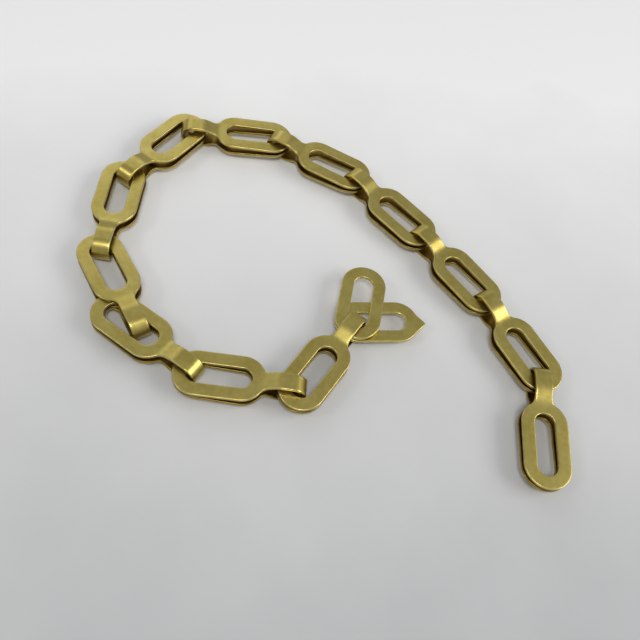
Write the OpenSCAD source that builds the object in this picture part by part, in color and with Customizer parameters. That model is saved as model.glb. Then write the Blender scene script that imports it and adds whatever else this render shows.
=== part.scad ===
// Stamped brass chain of folded links, lying curled on a flat surface.
// Each link is one figure-eight blank of sheet metal: two oblong slotted plates joined by a
// narrow neck. It is folded in half at the neck, so the plates lie one over the other and the
// neck makes a round eye. The eye reaches through the slot of the next link and closes round
// both of its end bars. The last eye carries two loose single plates.
// Millimetres, +Z up. The origin lies under the middle of the slot of the first link.

/* [Plates] */
// Width of each oblong plate
plate_width = 11.4; // [11.2:0.1:12]
// Length of each oblong plate
plate_length = 21.6; // [20.4:0.2:22.8]
// Width of the long slot in each plate
slot_width = 5.1; // [5:0.05:5.3]
// Thickness of the sheet metal
sheet = 0.9; // [0.7:0.05:0.9]
// Gap between the two plates of a link at its free end
free_gap = 0.5; // [0.3:0.1:0.5]
// Gap between the two plates of a link where the neck starts
neck_gap = 1.9; // [1.5:0.1:2.1]
// The same gap on the ninth link, spread so that the next link slides in between its plates
spread_gap = 3; // [3:0.1:3.2]

/* [Folded neck] */
// Width of the neck strip
neck_width = 4.2; // [3.4:0.1:4.2]
// Inside radius of the round fold
fold_radius = 2.45; // [2.45:0.05:2.6]
// How far the fold reaches past the end of the plates
fold_reach = 9.6; // [9.2:0.1:10.2]
// Length over which the neck steps out from the plates to the fold
step_length = 2; // [1.6:0.1:2.2]
// Length of the sloping shoulders past the end of the plates
shoulder_length = 1.6; // [1.2:0.1:2]

/* [Lay of the chain] */
// How far the chain is curled round, 1 being the full curl
curl = 1; // [0.6:0.05:1]
// How far the tenth link sits slid back through the eye of the ninth
slid_back = 8; // [0:0.5:8]

/* [Loose end plates] */
// Length of the pointed stub left on the lower end plate
stub_length = 2; // [1:0.25:2.5]

/* [Hidden] */
$fn = 96;
LINKS = 12;
// turn in degrees from each link to the next one, left positive, in steps of 5
turns = [35, 10, 5, 20, 25, 55, 30, 35, 25, 30, 60];
// the end bars of the next link lie back in each eye from its round end, further at a sharper turn
straight_lie_back = 0.3;
lie_back_per_degree = 0.02;
first_heading = 90;
upper_plate_turn = 25;
lower_plate_turn = -50;
plate_lie_back = 1.5;    // the same for the loose plates in the last eye
bar = (plate_width - slot_width) / 2;
fold_outer = fold_radius + sheet;
arc_offset = (plate_length - plate_width) / 2;      // plate middle to either arc centre
plate_end = -(fold_reach - fold_outer);             // plate edge at the neck, from the fold axis
plate_middle = plate_end - plate_length / 2;
neck_arc = plate_middle + arc_offset;
free_arc = plate_middle - arc_offset;
// with nothing lying back, the end bars of the next link would be centred on the fold axis,
// measured at the edges of the neck
slot_depth = sqrt(pow(slot_width / 2, 2) - pow(neck_width / 2, 2));
arc_from_fold = (plate_width / 2 + slot_depth) / 2;
mid_height = fold_outer;
brass = [0.68, 0.61, 0.32];
cut = 40;

// ---- lay of the chain on the surface ----
function toward(a) = [cos(a), sin(a)];
function heading(i) = i == 0 ? first_heading : heading(i - 1) + turns[i - 1] * curl;
function slide(i) = i == 9 ? slid_back : 0;
function lie_back(i) = straight_lie_back + lie_back_per_degree * turns[i];
// centre of the free-end arc of link i, and the middle of its fold axis
function free_arc_at(i) = i == 0
    ? -arc_offset * toward(first_heading)
    : fold_at(i - 1) + (arc_from_fold - lie_back(i - 1)) * toward(heading(i - 1))
        - slide(i) * toward(heading(i));
function fold_at(i) = free_arc_at(i) - free_arc * toward(heading(i));

// ---- flat shapes ----
module oblong(width, length) {
    for (side = [-1, 1]) translate([side * (length - width) / 2, 0]) circle(d = width);
    square([length - width, width], center = true);
}

module slot() {
    oblong(slot_width, plate_length - 2 * bar);
}

// corner of the outer line of the sheet, where the inner line turns at p from slope a to b
function outer_corner(p, a, b) =
    p + sheet / cos((b - a) / 2) * [-sin((a + b) / 2), cos((a + b) / 2)];

// a line above the middle plane, closed by its mirror image below
function both_sides(line) =
    concat(line, [for (i = [len(line) - 1:-1:0]) [line[i].x, -line[i].y]]);

// ---- one folded link, its fold axis on the Y axis ----
module across() {
    rotate([90, 0, 0]) linear_extrude(height = plate_width + 2, center = true) children();
}

module upright() {
    linear_extrude(height = cut, center = true) children();
}

// inner face of the upper half of the sheet: free end, start of the neck, end of the step
function inner_line(gap) =
    [[plate_end - plate_length, free_gap / 2], [plate_end, gap / 2],
     [plate_end + step_length, fold_radius]];

// everything inside the outer line of the sheet, seen from the side
module side_envelope(gap) {
    line = inner_line(gap);
    plate_slope = atan2(line[1].y - line[0].y, plate_length);
    step_slope = atan2(line[2].y - line[1].y, step_length);
    across() circle(r = fold_outer);
    across() polygon(both_sides([
        line[0] + [0, sheet],
        outer_corner(line[1], plate_slope, step_slope),
        outer_corner(line[2], step_slope, 0),
        [0, fold_outer]]));
}

// the space between the plates and inside the eye
module side_hollow(gap) {
    across() circle(r = fold_radius);
    across() polygon(both_sides(concat(
        [[plate_end - plate_length - 1, free_gap / 2]], inner_line(gap), [[0, fold_radius]])));
}

// plate, neck and the sloping shoulders between them, seen from above
module link_outline() {
    upright() translate([plate_middle, 0]) oblong(plate_width, plate_length);
    upright() translate([neck_arc, -neck_width / 2])
        square([fold_outer + 1 - neck_arc, neck_width]);
    upright() polygon([[plate_end - 1.4, 3.7], [plate_end - 1.4, -3.7],
                       [plate_end + shoulder_length, -neck_width / 2],
                       [plate_end + shoulder_length, neck_width / 2]]);
}

module folded_link(gap) {
    difference() {
        intersection() {
            union() side_envelope(gap);
            union() link_outline();
        }
        side_hollow(gap);
        upright() translate([plate_middle, 0]) slot();
    }
}

module placed_link(i) {
    color(brass) translate([fold_at(i).x, fold_at(i).y, mid_height])
        rotate([0, 0, heading(i)]) folded_link(i == 8 ? spread_gap : neck_gap);
}

// ---- loose single plate, its free-end arc centred on the Z axis ----
module loose_plate(stub) {
    far_end = plate_length / 2;
    translate([arc_offset, 0]) difference() {
        union() {
            linear_extrude(height = sheet) oblong(plate_width, plate_length);
            if (stub > 0) linear_extrude(height = sheet)
                polygon([[far_end - 2, 2.5], [far_end + stub, -0.8], [far_end - 1.5, -2.6]]);
        }
        translate([0, 0, -1]) linear_extrude(height = sheet + 2) slot();
    }
}

// level is the height of the underside above the middle of the stack
module placed_plate(turn, level, stub) {
    last = LINKS - 1;
    where = fold_at(last) + (arc_from_fold - plate_lie_back) * toward(heading(last));
    color(brass) translate([where.x, where.y, mid_height + level])
        rotate([0, 0, heading(last) + turn]) loose_plate(stub);
}

module link_01() { placed_link(0); }
module link_02() { placed_link(1); }
module link_03() { placed_link(2); }
module link_04() { placed_link(3); }
module link_05() { placed_link(4); }
module link_06() { placed_link(5); }
module link_07() { placed_link(6); }
module link_08() { placed_link(7); }
module link_09() { placed_link(8); }
module link_10() { placed_link(9); }
module link_11() { placed_link(10); }
module link_12() { placed_link(11); }
module end_plate_upper() { placed_plate(upper_plate_turn, free_gap / 2, 0); }
module end_plate_lower() { placed_plate(lower_plate_turn, -free_gap / 2 - sheet, stub_length); }

link_01();
link_02();
link_03();
link_04();
link_05();
link_06();
link_07();
link_08();
link_09();
link_10();
link_11();
link_12();
end_plate_upper();
end_plate_lower();
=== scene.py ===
"""Looks of a stamped brass chain of folded links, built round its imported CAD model."""

import math
import random

import bmesh
import bpy
import numpy as np
from mathutils import Matrix, Vector, noise


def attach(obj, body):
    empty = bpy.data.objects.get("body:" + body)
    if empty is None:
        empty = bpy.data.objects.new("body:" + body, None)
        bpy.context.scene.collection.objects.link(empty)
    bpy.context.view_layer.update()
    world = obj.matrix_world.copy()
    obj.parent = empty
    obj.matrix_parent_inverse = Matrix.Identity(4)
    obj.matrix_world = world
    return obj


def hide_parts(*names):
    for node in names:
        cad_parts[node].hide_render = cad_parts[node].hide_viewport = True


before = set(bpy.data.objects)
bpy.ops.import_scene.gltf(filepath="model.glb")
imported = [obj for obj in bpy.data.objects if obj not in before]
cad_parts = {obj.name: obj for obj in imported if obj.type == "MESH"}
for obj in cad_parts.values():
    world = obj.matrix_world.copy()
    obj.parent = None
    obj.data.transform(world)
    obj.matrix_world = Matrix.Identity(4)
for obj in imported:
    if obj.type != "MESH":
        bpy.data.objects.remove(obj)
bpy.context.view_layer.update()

# ---------------------------------------------------------------- sizes, in millimetres
MM = 0.001
PLATE_W = 11.4
PLATE_L = 21.6
SLOT_W = 5.1
SHEET = 0.9
FREE_GAP = 0.5
NECK_GAP = 1.9
SPREAD_GAP = 3.0
NECK_W = 4.2
FOLD_R = 2.45
REACH = 9.6
STEP_L = 2.0
SHOULDER_R = 2.4
SLID_BACK = 8.0
PLATE_LIE_BACK = 1.5
TURNS = [35, 10, 5, 20, 25, 55, 30, 35, 25, 30, 60]
LIE_BACK_STRAIGHT, LIE_BACK_PER_DEGREE = 0.3, 0.02
UPPER_TURN, LOWER_TURN = 25, -50
STUB_L = 2.0
LINKS = 12

BAR = (PLATE_W - SLOT_W) / 2
FOLD_OUT = FOLD_R + SHEET
FOLD_MID = FOLD_R + SHEET / 2
ARC_OFF = (PLATE_L - PLATE_W) / 2
PLATE_END = -(REACH - FOLD_OUT)
PLATE_MID = PLATE_END - PLATE_L / 2
NECK_ARC = PLATE_MID + ARC_OFF
FREE_ARC = PLATE_MID - ARC_OFF
SLOT_DEPTH = math.sqrt((SLOT_W / 2) ** 2 - (NECK_W / 2) ** 2)
ARC_FROM_FOLD = (PLATE_W / 2 + SLOT_DEPTH) / 2
MID_H = FOLD_OUT
SLID_LINK = 9
SPREAD_LINK = 8


def toward(deg):
    return np.array([math.cos(math.radians(deg)), math.sin(math.radians(deg))])


def chain_layout():
    """(fold axis position, heading) of each link, and the place of the loose plates."""
    out = []
    heading = 90.0
    arc = -ARC_OFF * toward(heading)
    for i in range(LINKS):
        if i:
            fold, last = out[-1]
            heading = last + TURNS[i - 1]
            back = SLID_BACK if i == SLID_LINK else 0
            reach = ARC_FROM_FOLD - LIE_BACK_STRAIGHT - LIE_BACK_PER_DEGREE * TURNS[i - 1]
            arc = fold + reach * toward(last) - back * toward(heading)
        out.append((arc - FREE_ARC * toward(heading), heading))
    fold, last = out[-1]
    return out, fold + (ARC_FROM_FOLD - PLATE_LIE_BACK) * toward(last)


# ---------------------------------------------------------------- the flat blank
EDGE_R = 0.20
EDGE_STEPS = [0.0, 0.03, 0.08, 0.14, 0.21]


def boundary_outline(with_neck):
    """Dense points along the true outline of half a blank, slot included, x along the link."""
    r_out, r_slot = PLATE_W / 2, SLOT_W / 2
    pts = []
    a = np.linspace(-math.pi / 2, math.pi / 2, 400)
    xs = np.linspace(FREE_ARC, NECK_ARC, 300)
    for r in (r_out, r_slot):
        pts += [(FREE_ARC - r * math.cos(t), r * math.sin(t)) for t in a]
        pts += [(x, s * r) for x in xs for s in (-1, 1)]
        cut = shoulder_angle() if (with_neck and r == r_out) else 0
        pts += [(NECK_ARC + r * math.cos(t), r * math.sin(t)) for t in a if abs(t) >= cut]
    if with_neck:
        cx, cy = shoulder_centre()
        for t in np.linspace(0, 1, 120):
            ang = math.pi + shoulder_angle() + t * (math.pi / 2 - shoulder_angle())
            x, y = cx + SHOULDER_R * math.cos(ang), cy + SHOULDER_R * math.sin(ang)
            pts += [(x, y), (x, -y)]
        for x in np.linspace(cx, 12, 600):
            pts += [(x, NECK_W / 2), (x, -NECK_W / 2)]
    return np.array(pts)


def shoulder_centre():
    y = NECK_W / 2 + SHOULDER_R
    return NECK_ARC + math.sqrt((PLATE_W / 2 + SHOULDER_R) ** 2 - y * y), y


def shoulder_angle():
    cx, cy = shoulder_centre()
    return math.atan2(cy, cx - NECK_ARC)


def neck_half_width(x):
    """Half width of the outline beyond the plate, where the hollow shoulders run out."""
    cx, cy = shoulder_centre()
    if x >= cx:
        return NECK_W / 2
    return cy - math.sqrt(max(SHOULDER_R**2 - (cx - x) ** 2, 0))


def ring_loop(with_neck):
    """Directions round the plate: (arc centre x, cos, sin) or a point on a straight side."""
    loop = []
    cols = neck_columns()
    if with_neck:
        y_f = PLATE_W / 2 * math.sin(shoulder_angle())
        mid = [math.asin(max(-1, min(1, q * y_f / (PLATE_W / 2)))) for q in cols]
    else:
        mid = list(np.linspace(-0.5, 0.5, 13))
    side = list(np.linspace(-math.pi / 2, mid[0], 14))[:-1]
    for t in side + mid + [-s for s in reversed(side)]:
        loop.append((NECK_ARC, math.cos(t), math.sin(t)))
    for x in np.linspace(NECK_ARC, FREE_ARC, 20)[1:-1]:
        loop.append((x, 0.0, 1.0))
    for t in np.linspace(math.pi / 2, -math.pi / 2, 40):
        loop.append((FREE_ARC, -math.cos(t), math.sin(t)))
    for x in np.linspace(FREE_ARC, NECK_ARC, 20)[1:-1]:
        loop.append((x, 0.0, -1.0))
    first = len(side)
    return loop, list(range(first, first + len(mid)))


def neck_columns():
    half = NECK_W / 2
    fine = [1 - d / half for d in EDGE_STEPS]
    inner = [0.72, 0.5, 0.25]
    pos = fine + inner + [0.0]
    return [-q for q in pos] + list(reversed(pos[:-1]))


def flat_half(with_neck):
    """Quads over half a blank: points (x, y, along the fold), faces and boundary edges."""
    pts, faces = [], []
    loop, mouth = ring_loop(with_neck)
    inner = [d / BAR for d in EDGE_STEPS]
    ks = inner + [0.2, 0.35, 0.5, 0.65, 0.8] + [1 - k for k in reversed(inner)]
    rows = []
    for k in ks:
        r = SLOT_W / 2 + k * BAR
        rows.append([])
        for cx, c, s in loop:
            rows[-1].append(len(pts))
            pts.append((cx + r * c, r * s, 0.0))
    n = len(loop)
    for j in range(len(ks) - 1):
        for i in range(n):
            i2 = (i + 1) % n
            faces.append((rows[j][i], rows[j + 1][i], rows[j + 1][i2], rows[j][i2]))
    seam = []
    if with_neck:
        prev = [rows[-1][i] for i in mouth]
        cols = neck_columns()
        x_tan = NECK_ARC + PLATE_W / 2 * math.cos(shoulder_angle())
        tops = [pts[p][0] - x_tan for p in prev]
        cx, _ = shoulder_centre()
        xs = list(np.linspace(x_tan, cx, 11)[1:]) + list(
            np.linspace(cx, 0, int(-cx / 0.22) + 1)[1:])
        for x in xs:
            blend = max(0.0, 1 - (x - x_tan) / 2.4) ** 1.5
            row = []
            for q, top in zip(cols, tops):
                row.append(len(pts))
                pts.append((x + top * blend if x < 0 else 0.0, q * neck_half_width(x), 0.0))
            for i in range(len(cols) - 1):
                faces.append((prev[i], row[i], row[i + 1], prev[i + 1]))
            prev = row
        for a in np.linspace(0, math.pi / 2, 17)[1:]:
            row = []
            for q in cols:
                row.append(len(pts))
                pts.append((0.0, q * NECK_W / 2, a))
            for i in range(len(cols) - 1):
                faces.append((prev[i], row[i], row[i + 1], prev[i + 1]))
            prev = row
        seam = prev
    return np.array(pts), faces, set(seam)


def edge_distance(points, with_neck):
    outline = boundary_outline(with_neck)
    out = np.empty(len(points))
    flat = np.c_[points[:, 0] + points[:, 2] * FOLD_MID, points[:, 1]]
    for i in range(0, len(flat), 400):
        d = np.linalg.norm(flat[i : i + 400, None] - outline[None], axis=2)
        out[i : i + 400] = d.min(1)
    return out


# ---------------------------------------------------------------- bending the blank
def side_curve(gap):
    """Smooth middle line of the sheet: height over x, from the free end to the fold."""
    x = np.linspace(PLATE_END - PLATE_L - 3, 2, 2400)
    nodes_x = [PLATE_END - PLATE_L - 3, PLATE_END - PLATE_L, PLATE_END - 0.4,
               PLATE_END + STEP_L + 1.1, 2]
    h = SHEET / 2
    nodes_z = [FREE_GAP / 2 + h, FREE_GAP / 2 + h, gap / 2 + h, FOLD_MID, FOLD_MID]
    slope = (nodes_z[2] - nodes_z[1]) / (PLATE_L - 0.4)
    nodes_z[0] = nodes_z[1] - 3 * slope
    z = np.interp(x, nodes_x, nodes_z)
    step = x[1] - x[0]
    for width in (1.7, 1.1):
        n = int(width / step) | 1
        pad = np.pad(z, n // 2, mode="reflect", reflect_type="odd")
        z = np.convolve(pad, np.ones(n) / n, mode="valid")
    return x, z, np.gradient(z, x)


def bend(points, dist, gap, curve=None):
    """Outer and inner skin of the upper half of a folded link."""
    x, z, dz = curve if curve is not None else side_curve(gap)
    px = points[:, 0]
    on_arc = points[:, 2] > 0
    slope = np.interp(px, x, dz)
    nx, nz = -slope, np.ones_like(slope)
    ln = np.hypot(nx, nz)
    nx, nz = nx / ln, nz / ln
    cx, cz = px.copy(), np.interp(px, x, z)
    ang = points[:, 2]
    cx = np.where(on_arc, FOLD_MID * np.sin(ang), cx)
    cz = np.where(on_arc, FOLD_MID * np.cos(ang), cz)
    nx = np.where(on_arc, np.sin(ang), nx)
    nz = np.where(on_arc, np.cos(ang), nz)
    drop = np.where(
        dist < EDGE_R, EDGE_R - np.sqrt(np.maximum(EDGE_R**2 - (EDGE_R - dist) ** 2, 0)), 0)
    half = SHEET / 2 - drop
    top = np.c_[cx + nx * half, points[:, 1], cz + nz * half]
    low = np.c_[cx - nx * half, points[:, 1], cz - nz * half]
    return top, low


def shell(points, faces, seam, top, low):
    """Closes two skins with a rim, leaving the seam row open."""
    n = len(points)
    verts = np.vstack([top, low])
    quads = [tuple(f) for f in faces] + [tuple(v + n for v in reversed(f)) for f in faces]
    count = {}
    for f in faces:
        for a, b in zip(f, f[1:] + f[:1]):
            count.setdefault(frozenset((a, b)), []).append((a, b))
    for key, uses in count.items():
        if len(uses) == 1 and not key <= seam:
            a, b = uses[0]
            quads.append((b, a, a + n, b + n))
    return verts, quads


def wander(p, seed, size):
    return noise.noise(Vector((p[0] / size + seed * 7.3, p[1] / size - seed * 3.1, p[2] / size)))


def loosen(verts, rng, seed, amount=1.0):
    """Small unevenness of one plate, which fades out towards the neck."""
    splay = math.radians(rng.uniform(-0.35, 0.35)) * amount
    twist = math.radians(rng.uniform(-0.6, 0.6)) * amount
    yaw = math.radians(rng.uniform(-0.5, 0.5)) * amount
    out = verts.copy()
    fade = np.clip((PLATE_END + 1.5 - verts[:, 0]) / 4.0, 0, 1)
    fade = fade * fade * (3 - 2 * fade)
    run = verts[:, 0] - PLATE_END
    out[:, 2] += fade * (-run * math.tan(splay) + verts[:, 1] * math.tan(twist))
    out[:, 1] += fade * run * math.tan(yaw)
    for i, p in enumerate(verts):
        out[i, 2] += fade[i] * 0.05 * amount * wander(p, seed, 7.0)
    return out


HALF = flat_half(True)
HALF_DIST = edge_distance(HALF[0], True)
PLATE = flat_half(False)
PLATE_DIST = edge_distance(PLATE[0], False)


def link_mesh(i):
    rng = random.Random(100 + i)
    gap = SPREAD_GAP if i == SPREAD_LINK else NECK_GAP
    amount = 0.35 if i in (SPREAD_LINK, SLID_LINK) else 1.0
    pts, faces, seam = HALF
    top, low = bend(pts, HALF_DIST, gap)
    verts, quads = shell(pts, faces, seam, top, low)
    upper = loosen(verts, rng, i * 2 + 1, amount)
    lower = loosen(verts, rng, i * 2 + 2, amount) * np.array([1, 1, -1])
    n = len(verts)
    both = np.vstack([upper, lower])
    quads = quads + [tuple(v + n for v in reversed(q)) for q in quads]
    wear = np.tile(HALF_DIST, 4)
    # the inner skins are marked for the painted shade inside the fold
    inside = np.tile(np.r_[np.zeros(len(pts)), np.ones(len(pts))], 2)
    return both, quads, wear, inside


STUB_ROOT = 2.4        # the plate starts to run out into the stub this far from its end
STUB_HALF_W = 2.9
STUB_OFFSET = -0.8     # the stub's point lies this far off the plate's middle line
FLAT_SHEET = (np.array([-1e3, 1e3]), np.zeros(2), np.zeros(2))


def plate_mesh(stub, seed):
    """A single flat plate, with a pointed stub at one end if stub is over zero."""
    points, faces, seam = PLATE
    points = points - np.array([FREE_ARC, 0, 0])
    top, low = bend(points, PLATE_DIST, 0, curve=FLAT_SHEET)
    verts, quads = shell(points, faces, seam, top, low)
    far = ARC_OFF + PLATE_L / 2
    for v in verts:
        past_root = v[0] - (far - STUB_ROOT)
        if stub > 0 and past_root > 0:
            tip = max(0.0, 1 - abs(v[1] - STUB_OFFSET) / STUB_HALF_W)
            v[0] += stub * tip**1.2 * min(1.0, past_root / STUB_ROOT)
        v[2] += 0.05 * wander(v, seed, 8.0)
    return verts, quads


def turned(verts, where, height, deg):
    c, s = math.cos(math.radians(deg)), math.sin(math.radians(deg))
    x = verts[:, 0] * c - verts[:, 1] * s + where[0]
    y = verts[:, 0] * s + verts[:, 1] * c + where[1]
    return np.c_[x, y, verts[:, 2] + height]


def add_piece(name, verts, quads, dist, inside, node, material):
    mesh = bpy.data.meshes.new(name)
    mesh.from_pydata([tuple(v * MM) for v in verts], [], quads)
    att = mesh.attributes.new("edge", "FLOAT", "POINT")
    att.data.foreach_set("value", np.exp(-dist / 0.16).astype(np.float32))
    # mask for the painted shade on the faces turned to the inside of the fold
    att = mesh.attributes.new("inside", "FLOAT", "POINT")
    att.data.foreach_set("value", inside.astype(np.float32))
    mesh.materials.append(material)
    obj = bpy.data.objects.new(name, mesh)
    bpy.context.scene.collection.objects.link(obj)
    bm = bmesh.new()
    bm.from_mesh(mesh)
    bmesh.ops.remove_doubles(bm, verts=bm.verts, dist=0.002 * MM)
    bmesh.ops.recalc_face_normals(bm, faces=bm.faces)
    for f in bm.faces:
        f.smooth = True
    bm.to_mesh(mesh)
    bm.free()
    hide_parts(node)
    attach(obj, node)


# ---------------------------------------------------------------- materials
def node_tree(material):
    material.use_nodes = True
    tree = material.node_tree
    tree.nodes.clear()
    return tree


def add(tree, kind, **inputs):
    """A new node, with its inputs set by name: From_Min=0.3 sets the socket From Min."""
    made = tree.nodes.new(kind)
    for key, value in inputs.items():
        made.inputs[key.replace("_", " ")].default_value = value
    return made


def noise_node(tree, coord, **inputs):
    made = add(tree, "ShaderNodeTexNoise", **inputs)
    tree.links.new(coord.outputs["Object"], made.inputs["Vector"])
    return made


def colour_mix(tree, factor, low, high, blend="MIX"):
    """Mixes from the low colour socket to the fixed high colour."""
    made = add(tree, "ShaderNodeMix")
    made.data_type = "RGBA"
    made.blend_type = blend
    tree.links.new(factor, made.inputs["Factor"])
    tree.links.new(low, made.inputs["A"])
    made.inputs["B"].default_value = high
    return made


def bump_node(tree, height, strength, distance, below=None):
    """A bump of the height socket, laid over the normal of the bump below it."""
    made = add(tree, "ShaderNodeBump", Strength=strength, Distance=distance)
    tree.links.new(height, made.inputs["Height"])
    if below:
        tree.links.new(below.outputs[0], made.inputs["Normal"])
    return made


def set_ramp(ramp, stops):
    for element, (position, colour) in zip(ramp.color_ramp.elements, stops):
        element.position = position
        element.color = (*colour, 1)


def brass_material():
    mat = bpy.data.materials.new("satin_brass")
    tree = node_tree(mat)
    link = tree.links.new
    out = add(tree, "ShaderNodeOutputMaterial")
    bsdf = add(tree, "ShaderNodeBsdfPrincipled", Metallic=1.0)
    link(bsdf.outputs[0], out.inputs[0])
    coord = add(tree, "ShaderNodeTexCoord")
    # colour: slow clouds of tarnish with finer mottling
    clouds = noise_node(tree, coord, Scale=160, Detail=4)
    speck = noise_node(tree, coord, Scale=900, Detail=4, Roughness=0.65)
    mottle = add(tree, "ShaderNodeMix", Factor=0.45)
    link(clouds.outputs["Fac"], mottle.inputs["A"])
    link(speck.outputs["Fac"], mottle.inputs["B"])
    ramp = add(tree, "ShaderNodeValToRGB")
    set_ramp(ramp, [(0.38, (0.505, 0.40, 0.098)), (0.60, (0.615, 0.50, 0.150))])
    link(mottle.outputs["Result"], ramp.inputs["Fac"])
    # wear: the edges are rubbed bright in patches
    edge = add(tree, "ShaderNodeAttribute")
    edge.attribute_name = "edge"
    rub = noise_node(tree, coord, Scale=420, Detail=3)
    rub_span = add(tree, "ShaderNodeMapRange", From_Min=0.35, From_Max=0.65, To_Max=0.6)
    link(rub.outputs["Fac"], rub_span.inputs["Value"])
    worn = add(tree, "ShaderNodeMath")
    worn.operation = "MULTIPLY"
    link(edge.outputs["Fac"], worn.inputs[0])
    link(rub_span.outputs[0], worn.inputs[1])
    bright = colour_mix(tree, worn.outputs[0], ramp.outputs["Color"], (0.86, 0.74, 0.34, 1))
    # painted shade: the faces turned to the inside of the fold are darkened, standing in for the shade
    # and dark reflections inside it
    inner = add(tree, "ShaderNodeAttribute")
    inner.attribute_name = "inside"
    inside_shade_mix = colour_mix(tree, inner.outputs["Fac"], bright.outputs["Result"],
                         (0.42, 0.34, 0.24, 1), "MULTIPLY")
    link(inside_shade_mix.outputs["Result"], bsdf.inputs["Base Color"])
    # roughness: satin, a little polished at the edges
    rough_noise = noise_node(tree, coord, Scale=700, Detail=5)
    rough = add(tree, "ShaderNodeMapRange", To_Min=0.25, To_Max=0.41)
    link(rough_noise.outputs["Fac"], rough.inputs["Value"])
    rough_mix = add(tree, "ShaderNodeMix")
    link(worn.outputs[0], rough_mix.inputs["Factor"])
    link(rough.outputs[0], rough_mix.inputs["A"])
    rough_mix.inputs["B"].default_value = 0.24
    link(rough_mix.outputs["Result"], bsdf.inputs["Roughness"])
    # bump: soft waviness, then pits, then the grain of rolled sheet
    waves = noise_node(tree, coord, Scale=330, Detail=2)
    grain = noise_node(tree, coord, Scale=3200, Detail=3)
    pits = add(tree, "ShaderNodeTexVoronoi", Scale=330)
    link(coord.outputs["Object"], pits.inputs["Vector"])
    pit_span = add(tree, "ShaderNodeMapRange", From_Min=0.03, From_Max=0.11)
    link(pits.outputs["Distance"], pit_span.inputs["Value"])
    wavy = bump_node(tree, waves.outputs["Fac"], 0.12, 0.00012)
    pitted = bump_node(tree, pit_span.outputs[0], 0.22, 0.00003, wavy)
    grained = bump_node(tree, grain.outputs["Fac"], 0.10, 0.00002, pitted)
    link(grained.outputs[0], bsdf.inputs["Normal"])
    return mat


def floor_material():
    mat = bpy.data.materials.new("pale_floor")
    tree = node_tree(mat)
    link = tree.links.new
    out = add(tree, "ShaderNodeOutputMaterial")
    bsdf = add(tree, "ShaderNodeBsdfPrincipled", Roughness=0.55)
    link(bsdf.outputs[0], out.inputs[0])
    coord = add(tree, "ShaderNodeTexCoord")
    # floor tone: a faint cloudiness, and a painted fall of light across it, lighter at one side and
    # darker towards the other
    spread = add(tree, "ShaderNodeMapping", Rotation=(0, 0, math.radians(80)),
                 Location=(0.5, 0.0, 0.0), Scale=(2.6, 2.6, 2.6))
    link(coord.outputs["Object"], spread.inputs["Vector"])
    # painted light fall-off: a slow gradient of tone across the floor, standing in for uneven lighting
    painted_light_fall = add(tree, "ShaderNodeTexGradient")
    link(spread.outputs[0], painted_light_fall.inputs["Vector"])
    cloud = noise_node(tree, coord, Scale=22, Detail=5)
    blend = add(tree, "ShaderNodeMath")
    blend.operation = "MULTIPLY_ADD"
    link(cloud.outputs["Fac"], blend.inputs[0])
    blend.inputs[1].default_value = 0.16
    link(painted_light_fall.outputs["Fac"], blend.inputs[2])
    # the ramp turns the painted light fall from a light tone to a darker one
    ramp = add(tree, "ShaderNodeValToRGB")
    set_ramp(ramp, [(0.25, (0.87, 0.863, 0.859)), (0.74, (0.405, 0.409, 0.415))])
    link(blend.outputs[0], ramp.inputs["Fac"])
    link(ramp.outputs["Color"], bsdf.inputs["Base Color"])
    return mat


# ---------------------------------------------------------------- the pieces
brass = brass_material()
layout, plates_at = chain_layout()
for i, (where, heading) in enumerate(layout):
    verts, quads, dist, inside = link_mesh(i)
    node = "link_%02d" % (i + 1)
    add_piece("chain_" + node, turned(verts, where, MID_H, heading), quads, dist, inside,
              node, brass)


last_heading = layout[-1][1]
for node, level, turn, stub, seed in (
        ("end_plate_upper", FREE_GAP / 2, UPPER_TURN, 0, 31),
        ("end_plate_lower", -FREE_GAP / 2 - SHEET, LOWER_TURN, STUB_L, 32)):
    verts, quads = plate_mesh(stub, seed)
    verts = turned(verts, plates_at, MID_H + level + SHEET / 2, last_heading + turn)
    add_piece("chain_" + node, verts, quads, np.tile(PLATE_DIST, 2), np.zeros(len(verts)), node, brass)

# ---------------------------------------------------------------- floor, light, camera
floor_mesh = bpy.data.meshes.new("floor")
reach = 2.0
corners = [(-reach, -reach, 0), (reach, -reach, 0), (reach, reach, 0), (-reach, reach, 0)]
floor_mesh.from_pydata(corners, [], [(0, 1, 2, 3)])
floor_mesh.materials.append(floor_material())
floor = bpy.data.objects.new("floor", floor_mesh)
bpy.context.scene.collection.objects.link(floor)
floor.location = (0, 0, -0.00002)      # just clear of the undersides

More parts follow.
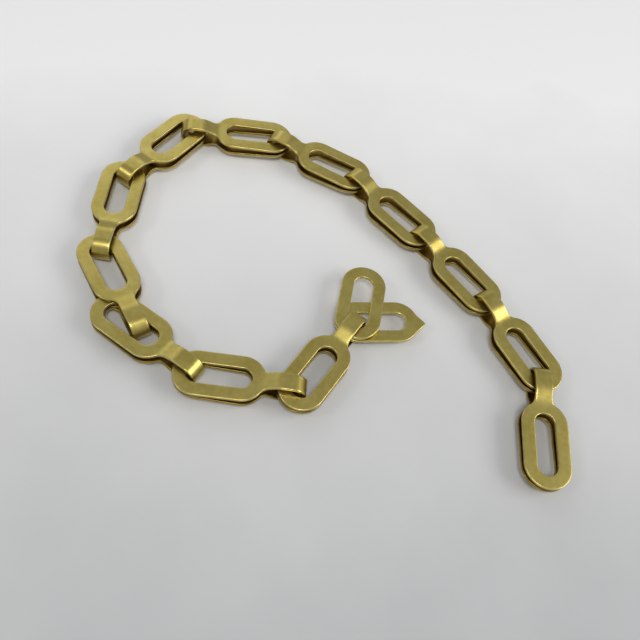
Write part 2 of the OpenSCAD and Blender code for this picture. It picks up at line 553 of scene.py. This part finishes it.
world = bpy.data.worlds.new("studio")
bpy.context.scene.world = world
world.use_nodes = True
background = world.node_tree.nodes["Background"]
background.inputs["Color"].default_value = (0.93, 0.96, 1.0, 1)
background.inputs["Strength"].default_value = 0.39


def area_light(name, at, target, size, power, colour):
    light = bpy.data.lights.new(name, "AREA")
    light.shape = "RECTANGLE"
    light.size, light.size_y = size
    light.energy = power
    light.color = colour
    obj = bpy.data.objects.new(name, light)
    bpy.context.scene.collection.objects.link(obj)
    obj.location = at
    obj.rotation_euler = (Vector(target) - Vector(at)).to_track_quat("-Z", "Y").to_euler()


CENTRE = (-0.055, 0.038, 0.0)
WARM = (1.0, 0.99, 0.96)
area_light("key", (0.85, -0.05, 0.62), CENTRE, (0.8, 0.5), 5.4, WARM)
area_light("ceiling", (-0.06, -0.34, 0.90), CENTRE, (0.30, 0.18), 3.1, WARM)
area_light("side", (-0.86, -0.22, 0.75), CENTRE, (0.22, 0.22), 1.05, WARM)
area_light("back", (-0.50, 1.00, 0.72), CENTRE, (1.0, 0.6), 1.35, (0.97, 0.98, 1.0))

# camera: place in mm, then tilt from straight down, azimuth of the view and roll in degrees
CAM_AT = np.array([-70.3, -66.7, 152.2])
CAM_TILT, CAM_AZ, CAM_ROLL = (math.radians(a) for a in (32.0, 81.0, 16.3))
LENS = 39.9
view = Vector((math.sin(CAM_TILT) * math.cos(CAM_AZ), math.sin(CAM_TILT) * math.sin(CAM_AZ),
               -math.cos(CAM_TILT)))
right = Vector((math.sin(CAM_AZ), -math.cos(CAM_AZ), 0))
up = right.cross(view)
right, up = (math.cos(CAM_ROLL) * right + math.sin(CAM_ROLL) * up,
             math.cos(CAM_ROLL) * up - math.sin(CAM_ROLL) * right)
cam_data = bpy.data.cameras.new("camera")
cam_data.lens = LENS
cam_data.sensor_width = 36
cam_data.clip_start = 0.005
camera = bpy.data.objects.new("camera", cam_data)
bpy.context.scene.collection.objects.link(camera)
basis = Matrix((right, up, -view)).transposed().to_4x4()
basis.translation = Vector(CAM_AT * MM)
camera.matrix_world = basis
bpy.context.scene.camera = camera
bpy.context.scene.view_settings.view_transform = "Standard"
